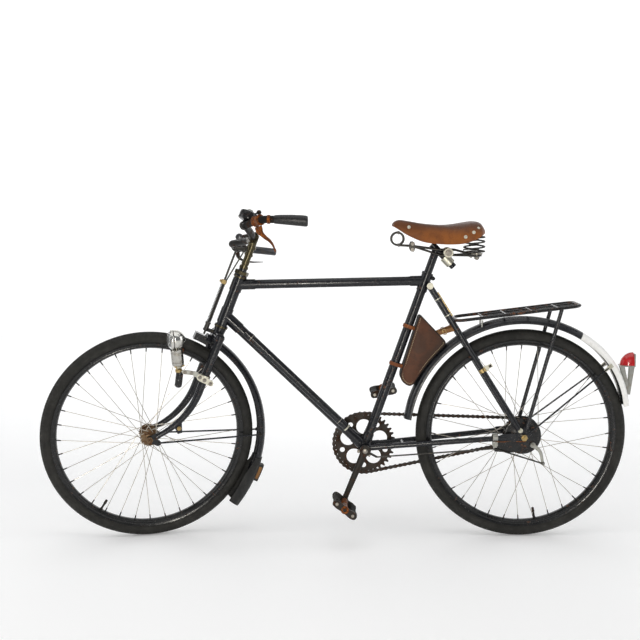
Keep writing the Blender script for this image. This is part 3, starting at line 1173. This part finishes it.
def frame_fittings():
    """Bolts of the seat lug, rings and strip on the left seat stay, its lock clamp, the brake arm's clamp,
    clips of the mudguard stays, rack rods and the pump's rings."""
    clip = around(TAIL_C, 265.0, 145.0, 29.9)
    along = unit((REAR - clip) * [1, 0, 1])
    tongue = [(-6, -6), (6, -6), (24, -4), (26, 0), (24, 4), (6, 6), (-6, 6)]
    parts = made_of(zinc, *bolted(STAY_BOLT + LEFT * 34.2 * MM, LEFT, 7.6, 4.6),
                    slab(tongue, 0.0, 3.2, clip, along, LEFT, np.cross(along, LEFT)),
                    *bolted(clip + LEFT * 3.0 * MM, LEFT, 4.4, 3.0))
    parts += made_of(galvanized, rod(mm(-116, 22, -294), mm(-114.5, 21, -316), 2.6, 10))
    parts = both(parts)
    upper = on_stay(407.0, 40.5) - on_stay(550.9, 25.5)
    lower = on_stay(27.0, 63.5) - on_stay(407.0, 40.5)
    back = np.cross(STAY_RUN, LEFT)
    rings = [band(on_stay(d, y), upper, 8.6, 10.3, 1.7) for d, y in ((503.7, 30.4), (445.4, 36.5))]
    strip = rod(on_stay(522.0, 28.5) + back * 9.4 * MM, on_stay(436.0, 37.5) + back * 9.4 * MM, 2.6)
    lock = on_stay(244.6, 50.3)
    plate = [(-6, -5), (2, -9), (16, -9), (22, -4), (22, 6), (15, 9), (0, 8)]
    hasp = np.array([(-7, -6), (7, -6), (7, 6), (-7, 6)])
    hasp_at = lock + back * 27.0 * MM
    parts += made_of(brass, strip, band(lock, lower, 8.8, 11.6, 6.0))
    parts += made_of(zinc, *rings, slab(plate, 2.0, 5.0, lock, back, LEFT, STAY_RUN),
                     slab(hasp, 0.0, 4.0, hasp_at, back, LEFT, STAY_RUN))
    parts += made_of(black_rust, slab(hasp * 0.6, 3.0, 5.2, hasp_at, back, LEFT, STAY_RUN))
    tab = [(-8, -9), (8, -9), (8, -26), (4, -32), (-4, -32), (-8, -26)]
    parts += made_of(galvanized, band(ARM_END, X_AXIS, 10.4, 12.6, 8.0),
                     slab(tab, -5.0, 6.0, ARM_END, X_AXIS, LEFT, Z_AXIS),
                     *bolted(ARM_END + mm(0, 6, -23), LEFT, 5.6, 3.6))
    over = np.cross(LEFT, DOWN_RUN)
    over = over * np.sign(over[2])
    pump_top = DOWN_HIGH + (DOWN_RUN * 80 + over * 9 + LEFT * 28) * MM
    for d, half, finish in ((436.0, 2.2, zinc), (404.0, 1.2, dull_steel), (26.0, 1.2, dull_steel)):
        parts.append((finish, band(pump_top + DOWN_RUN * d * MM, DOWN_RUN, 9.0, 12.9, half)))
    piece("frame_fittings", "frame", parts)


brake_plate()
frame_fittings()

# Handlebar and what it carries

BAR_ROLL = np.radians(18.0)
BAR_MID = on_head(690.8, 8.0)
BAR_LAST = ((10.0, 232.0, 12.0), (-116.0, 265.0, 2.0))     # ahead, outwards, up at the bar's last straight
BELL_FOOT, BELL_TOP, BELL_BALL = (46.0, 148.0, 12.0), (27.0, 150.0, 52.0), (1.0, 152.0, 49.0)
BALL_R = 7.6
GRIP_LEN, GRIP_DROOP = 92.0, 4.2
LEVER_CLAMP = ((22, 200, 12), (10, 226, 12))
LEVER_HINGE = ((14, 208, -12), (12, 222, -12))
LEVER_RING = ((-8, 236.7, 10.6), (-14, 238.3, 10.1))
FAR_LEVER = 0.62         # size of the right lever's blade beside the left one's


def at_bar(spots, sign=1):
    """Points ahead, to the left and above the bar's middle, with the bent bar's roll and the steering turned.
    A sign of -1 sets them to the right."""
    x, y, z = np.moveaxis(np.asarray(spots, float) * [1, sign, 1], -1, 0)
    c, s = np.cos(BAR_ROLL), np.sin(BAR_ROLL)
    return turn(BAR_MID + np.stack([x, y * c - z * s, y * s + z * c], -1) * MM)


def grips():
    """A swelling rubber grip on the left, which droops with the square of the way along it, and the bare
    steel tube with its plug on the right."""
    rubber_shape = [(0, -93), (11.6, -93), (12.8, -90), (14.2, -70), (15.6, -40), (16.3, -14), (16.4, -3),
                    (15.2, 2.6), (11, 4.6), (0, 4.8)]
    tube_shape = [(0, -92), (11.8, -92), (12.2, -91), (12.2, 2), (11.4, 3.6), (9.6, 3.8), (9.2, 1.4),
                  (0, 1.2)]
    parts = []
    for sign, finish, shape, droop in ((1, grip_rubber, rubber_shape, GRIP_DROOP),
                                       (-1, gun_steel, tube_shape, 0)):
        start, end = at_bar(BAR_LAST, sign)
        share = np.clip(np.array(shape)[:, 1] / GRIP_LEN + 1.0, 0, 1)
        fall = Z_AXIS * (droop * share ** 2)[:, None, None] * MM
        parts.append((finish, Surf(turned(shape, end, end - start, 44).grid - fall, False, True)))
    piece("bar_grips", "steering", parts, ["grips"], 50.0)


def bell():
    """Bell with a grooved rim, a domed lid, its screw, and a thumb lever with a ball."""
    foot, top, ball, bar_end = at_bar((BELL_FOOT, BELL_TOP, BELL_BALL, BAR_LAST[0]))
    up = unit(top - foot)
    body = [(0, 15), (21, 15), (26, 16.5), (27.6, 19), (27.6, 24), (26.4, 24.8), (26.4, 26.6), (27.6, 27.4),
            (27.6, 37), (26.4, 40.4), (22, 43), (12, 44.6), (0, 45)]
    neck = [(0, 5), (10, 5), (10, 11), (7, 16), (0, 16)]
    screw = [(0, 44), (8, 44), (9, 45), (9, 48.4), (7.6, 50), (0, 50.4)]
    a = np.radians(np.linspace(-90, 90, 15))
    parts = made_of(dull_enamel, turned(body, foot, up, 52), turned(neck, foot, up, 24))
    parts += made_of(galvanized, turned(screw, foot, up, 28))
    parts += made_of(black_rust, rod(foot + up * 30.0 * MM, ball, (3.2, 2.4)),
                     turned(np.stack([np.cos(a), np.sin(a)], -1) * BALL_R, ball, LEFT, 24),
                     band(foot, bar_end - foot, 10.6, 13.4, 7.0))
    piece("bell_and_thumb", "steering", parts, ["bell"])


def brake_levers():
    """Brake levers: a flanged clamp band, a hinge and a blade that tapers along a curve."""
    blade = ((16, 212, -6), (12, 215, -22), (0, 224, -39), (-11, 235, -52), (-19, 243, -68),
             (-23.5, 247, -87))
    far_blade = ((16, 212, -6), (12, 215, -22), (-6, 221, -33), (-30, 224, -37), (-52, 225, -37.5),
                 (-70, 225.6, -37.6))
    t = np.linspace(0, 1, 44)
    wide = np.interp(t, [0, 0.15, 0.3, 0.55, 0.85, 1], [11, 10.5, 6.4, 4.8, 2.9, 1.8]) * MM
    for name, sign, finish, line, size in (("left", 1, orange_rust, blade, 1.0),
                                           ("right", -1, black_rust, far_blade, FAR_LEVER)):
        path = at_bar(smooth_path(line, 44), sign)
        a, b = at_bar(LEVER_CLAMP, sign)
        hinge = at_bar(LEVER_HINGE, sign)
        ring = at_bar(LEVER_RING, sign)
        middle, flange = (a + b) / 2, unit(b - a) * 12.0 * MM
        parts = made_of(finish, swept(path, oval(wide * size, 4.2 * size * MM, 3.0)),
                        band(middle, b - a, 10.8, 14.6, 13.0), band(middle - flange, b - a, 11.0, 16.2, 2.6),
                        band(middle + flange, b - a, 11.0, 16.2, 2.6),
                        stud(hinge[0] - LEFT * 4 * MM, hinge[1] + LEFT * 4 * MM, 5.6, 16),
                        band(ring.mean(0), ring[1] - ring[0], 10.8, 13.0, 4.2))
        piece("brake_blade_" + name, "steering", parts, ["brake_lever_" + name])


def stem_fittings():
    """Clamp bolts and collars of the stem, the headset's lock nut, and the brake linkage's pivot knob."""
    rings = [stud(on_head(573.5), on_head(586.0), 22.6, 6, 1.6)]
    for s, inner, outer, half in ((566.0, 16.0, 21.6, 2.6), (400.0, 16.0, 21.8, 3.0),
                                  (640.0, 10.6, 13.6, 4.0), (612.0, 10.6, 12.4, 4.0),
                                  (664.0, 10.6, 14.6, 4.0)):
        rings.append(band(on_head(s), HEAD_UP, inner, outer, half))
    parts = steered(made_of(olive_brass, *rings))
    for y in (-17.0, 17.0):
        low, high = at_bar(((-13, y, -6), (-13, y, 12)))
        parts += made_of(dull_steel, stud(low, high, 4.0, 14), *bolted(high, high - low, 5.4, 4.0))
    knob, root = at_bar(((47, 46, -4), (9, 48, 2)))
    shape = [(0, -9), (9, -9), (11.4, -6.5), (11.8, 3), (10, 7), (4, 8.6), (0, 9)]
    parts += [(gun_steel, turned(shape, knob, LEFT, 30)), (black_rust, rod(root, knob, (6.0, 5.0), 14))]
    piece("stem_fittings", "steering", parts)


ROD_FWD = 42.0           # front brake rod ahead of the steering axis
COIL_AT, COIL_LEN, COIL_R = 402.0, 126.0, 6.0     # its spring up the steering axis
COIL_TURNS = 27


def front_brake():
    """Plunger rod of the front brake with its coil spring, brass collar, guide and second pull rod."""
    t = np.linspace(0, 1, COIL_TURNS * 12)[:, None]
    a = t * COIL_TURNS * TAU
    coil = on_head(COIL_AT + COIL_LEN * t, ROD_FWD + COIL_R * np.cos(a), COIL_R * np.sin(a))
    plunger = rod(on_head(360.0, ROD_FWD), on_head(644.8, ROD_FWD), 3.4, 14)
    link = rod(on_head(541.0, ROD_FWD - 4.0, 8.0), on_head(650.0, 20.0, 16.0), 2.3, 10)
    elbow = bars(on_head(644.8, ROD_FWD), on_head(656.8, 6.0),
                 [(0, 0, 0), (0, -4, 5.0), (1, 0, 5.0), (1, 0, 0)], 14)
    bracket = rod(on_head(376.0, ROD_FWD), on_head(376.0, 6.0), 6.0, 14)
    shape = [(0, 0), (8.4, 0), (9, 1), (9, 5), (7.6, 6), (7.6, 22), (9, 23), (9, 27), (8.2, 28), (0, 28)]
    guide = turned(shape, on_head(372.0, ROD_FWD), HEAD_UP, 24)
    collar = stud(on_head(528.0, ROD_FWD), on_head(541.0, ROD_FWD), 9.4, 6)
    screw = stud(on_head(534.5, ROD_FWD + 4.0), on_head(534.5, ROD_FWD + 14.0), 4.0, 14)
    parts = made_of(dark_wire, tube(coil, 1.7, 6, HEAD_UP), plunger, link, elbow, bracket, guide)
    parts += made_of(brass, collar, screw)
    piece("front_brake_plunger", "steering", steered(parts), ["front_brake_rod"])


grips()
bell()
brake_levers()
stem_fittings()
front_brake()

# Lamp, dynamo and what the fork carries

LAMP = on_head(323.0, 128.0, 54.0)
DYNAMO = on_head(263.0, 98.0, 52.0)
LAMP_RUN = unit(np.array([1.0, 0, -0.06]))
DYNAMO_RUN = unit(LAMP - DYNAMO)
PILL_TOP, PILL_LOW = on_head(238.0, 80.0, 47.0), on_head(184.0, 66.6, 47.0)


def headlamp():
    """Ball-shaped chrome lamp with a bead at its rim, a reflector inside and a bowed glass."""
    shell = [(0, -30), (8, -29), (16, -25.5), (22.5, -20), (27.4, -12), (29.8, -3), (30.2, 4), (29.4, 6),
             (30.6, 7), (31.6, 9.5), (31.4, 13), (30, 15), (27.6, 15), (26, 13), (19, 2), (9, -6), (0, -8)]
    glass = [(0, 14), (27.4, 12.4), (27.6, 14.6), (24, 19.5), (16, 24), (7, 26.4), (0, 27)]
    foot = LAMP - (LAMP_RUN * 6 + Z_AXIS * 27) * MM
    parts = [(chrome, turned(shell, LAMP, LAMP_RUN, 56)), (lamp_glass, turned(glass, LAMP, LAMP_RUN, 48)),
             (black_rust, band(LAMP + LAMP_RUN * 5.2 * MM, LAMP_RUN, 28.6, 30.0, 0.9)),
             (chrome, stud(foot, foot - Z_AXIS * 9 * MM, 7.0, 18))]
    piece("headlamp_ball", "steering", steered(parts), ["headlamp"])


def dynamo():
    """Bottle dynamo: a beaded chrome body, its neck, terminal screw, brass foot and the black capsule."""
    shape = [(0, -14), (15, -14), (18, -12.6), (19, -10), (19, -4), (18, -3.4), (18, -1.6), (19, -1),
             (19, 26), (18, 26.6), (18, 28.4), (19, 29), (19, 34), (16.5, 37), (9, 38.4), (9, 52), (0, 52)]
    low = [(0, -36), (9.5, -36), (10.6, -35), (10.6, -28), (8, -26.8), (8, -21), (12.4, -19.6), (12.4, -14),
           (0, -14)]
    pill = [(0, 0), (7, 1), (10.4, 4), (11.4, 9), (11.4, 48), (10, 53), (6, 56), (0, 57)]
    side = np.cross(DYNAMO_RUN, LEFT)
    screw = DYNAMO + (DYNAMO_RUN * 31 + side * 18) * MM
    parts = made_of(dynamo_chrome, turned(shape, DYNAMO, DYNAMO_RUN, 48))
    parts += made_of(brass, turned(low, DYNAMO, DYNAMO_RUN, 32),
                     *bolted(DYNAMO + (side * 12 - DYNAMO_RUN * 17) * MM, side, 3.6, 4.0))
    parts += [(orange_rust, stud(screw, screw + side * 4 * MM, 4.4, 14)),
              (dull_enamel, turned(pill, PILL_TOP, PILL_LOW - PILL_TOP, 28))]
    piece("bottle_dynamo", "steering", steered(parts), ["dynamo"])


def lamp_clamp():
    """Pressed clamp on the left fork leg: a band, an arm plate out to the dynamo, and bolts."""
    leg = on_head(236.0, 0.0, 50.0)
    jaw = [(-29, -9), (-26, -13), (-20, -14), (22, -7), (26, -3), (26, 8), (22, 12), (-24, 3), (-29, -2)]
    arm = [(12, -5), (40, 1), (60, -3), (72, -4), (77, 0), (75, 7), (60, 11), (34, 15), (12, 9)]
    parts = made_of(zinc, band(leg, HEAD_UP, 12.6, 16.4, 11.0),
                    slab(jaw, 13.0, 17.0, leg, HEAD_FWD, LEFT, HEAD_UP),
                    rod(on_head(244.0, 86.0, 64.0), DYNAMO - DYNAMO_RUN * 8 * MM, 7.0, 16))
    parts += made_of(galvanized, slab(arm, 9.4, 13.0, leg, HEAD_FWD, LEFT, HEAD_UP))
    for fwd, up, out in ((-20.0, -6.0, 17.0), (1.0, -1.5, 17.0), (18.0, 2.5, 17.0), (46.0, 6.5, 13.0),
                         (66.0, 2.0, 13.0)):
        spot = leg + (HEAD_FWD * fwd + HEAD_UP * up + LEFT * out) * MM
        parts += made_of(dull_steel, *bolted(spot, LEFT, 4.6, 3.4))
    piece("lamp_clamp_plate", "steering", steered(parts), ["lamp_bracket"])


def fork_fittings():
    """Lug behind the left fork leg, the flap's stiffening block, and clips of the front mudguard stays."""
    lug = [(24, 101), (4, 52), (16, 44), (38, 66)]
    block = np.array([(371, -11), (383, -11.5), (386.5, -9), (386.5, 9), (383, 11.5), (371, 11)])
    cheek = np.array([(373, -12.6), (381.5, -12.6), (383.5, -11), (383.5, 11), (381.5, 12.6), (373, 12.6)])
    parts = made_of(black_enamel, slab(lug, 46.0, 53.0, FOOT, HEAD_FWD, LEFT, HEAD_UP))
    parts += made_of(brass, *bolted(on_head(62.0, 18.0, 53.0), LEFT, 5.0, 4.0))
    for finish, shape, low, high in ((flap_rubber, block, 198.6, 207.2), (tan_strap, cheek, 199.8, 206.0)):
        parts.append((finish, bent_sheet(shape, np.linspace(low, high, 14), FRONT)))
    parts += both(made_of(black_rust, *bolted(around(FRONT, 350.0, 182.0, 29.9), LEFT, 4.6, 3.0)))
    piece("fork_fittings", "steering", steered(parts))


headlamp()
dynamo()
lamp_clamp()
fork_fittings()

# Floor, light and camera

FLOOR_Z = REAR[2] - WHEEL_R * MM
FLOOR_HALF = 14.0        # metres to each side
BACKDROP_HIGH = 14.0
BEND_AT = 0.15           # share of the floor's run where it starts to rise


def floor_finish():
    """Plain pale studio floor."""
    f = Finish("studio_floor", Specular_IOR_Level=0.2, Emission_Strength=0.15)
    return f.set(Base_Color=f.mix(f.noise(0.6), (0.90, 0.90, 0.90), (0.92, 0.92, 0.92)), Roughness=0.6)


def studio():
    """Floor that rises to a backdrop in one smooth bend: s runs from its front edge at -1 to its top at 1,
    and the height goes with the square of s beyond the bend."""
    across = np.linspace(-FLOOR_HALF, FLOOR_HALF, 30)
    s = np.linspace(-1.0, 1.0, 80)
    back = -13.2 * np.clip(s, -1, 0.25) - 2.64 * np.clip(s - 0.25, 0, 1)
    rise = FLOOR_Z + BACKDROP_HIGH * np.clip(s - BEND_AT, 0, 1) ** 2
    grid = np.stack(np.broadcast_arrays(across[:, None], back[None], rise[None]), -1)
    mesh = bpy.data.meshes.new("studio_floor")
    mesh.from_pydata(grid.reshape(-1, 3), [], face_array(Surf(grid, False, False)))
    mesh.polygons.foreach_set("use_smooth", np.ones(len(mesh.polygons), bool))
    mesh.materials.append(floor_finish())
    floor = bpy.data.objects.new("studio_floor", mesh)
    bpy.context.scene.collection.objects.link(floor)


def lamp(name, spot, aim, size, power, tint=(1, 1, 1)):
    """A soft rectangular light at spot, turned to aim."""
    data = bpy.data.lights.new(name, "AREA")
    data.shape = "RECTANGLE"
    data.size, data.size_y = size
    data.energy = power
    data.color = tint
    obj = bpy.data.objects.new(name, data)
    toward = Vector(aim) - Vector(spot)
    obj.location = spot
    obj.rotation_euler = toward.to_track_quat("-Z", "Y").to_euler()
    bpy.context.scene.collection.objects.link(obj)


CAMERA_AT = (0.387, 3.30, 0.086)
CAMERA_PITCH = 6.6       # degrees down
LENS_PIXELS = 1066.0     # focal length for an image 640 wide
IMAGE_WIDE = 640.0
SENSOR = 36.0            # millimetres across


def camera():
    """Camera on the bicycle's left, looking square at its side and a little down."""
    data = bpy.data.cameras.new("photo_camera")
    data.sensor_width = SENSOR
    data.lens = SENSOR * LENS_PIXELS / IMAGE_WIDE
    obj = bpy.data.objects.new("photo_camera", data)
    obj.location = CAMERA_AT
    obj.rotation_euler = (np.radians(90.0 - CAMERA_PITCH), 0.0, np.radians(180.0))
    bpy.context.scene.collection.objects.link(obj)
    bpy.context.scene.camera = obj


studio()
lamp("overhead", (0.3, 0.4, 2.6), (0.3, 0.0, -0.6), (4.5, 3.5), 50.0)
lamp("front_fill", (0.9, 4.6, 1.4), (0.3, 0.0, -0.4), (2.4, 1.6), 9.0)
lamp("strip", (0.52, 3.42, -0.40), (0.45, 0.0, -0.40), (0.12, 1.10), 31.0, (1.0, 0.95, 0.86))
lamp("left_side", (3.4, 0.6, 0.6), (0.3, 0.0, -0.4), (1.6, 2.6), 26.0)
lamp("right_side", (-3.0, 0.6, 0.6), (0.3, 0.0, -0.4), (1.6, 2.6), 26.0)
lamp("backdrop_wash", (0.3, -2.0, 2.4), (0.3, -7.0, 0.4), (6.0, 2.0), 100.0)
world = bpy.data.worlds.new("studio_air")
bpy.context.scene.world = world
world.use_nodes = True
air = world.node_tree.nodes["Background"]
air.inputs["Color"].default_value = (0.95, 0.97, 1.0, 1.0)
air.inputs["Strength"].default_value = 0.24
bpy.context.scene.view_settings.view_transform = "Standard"
camera()
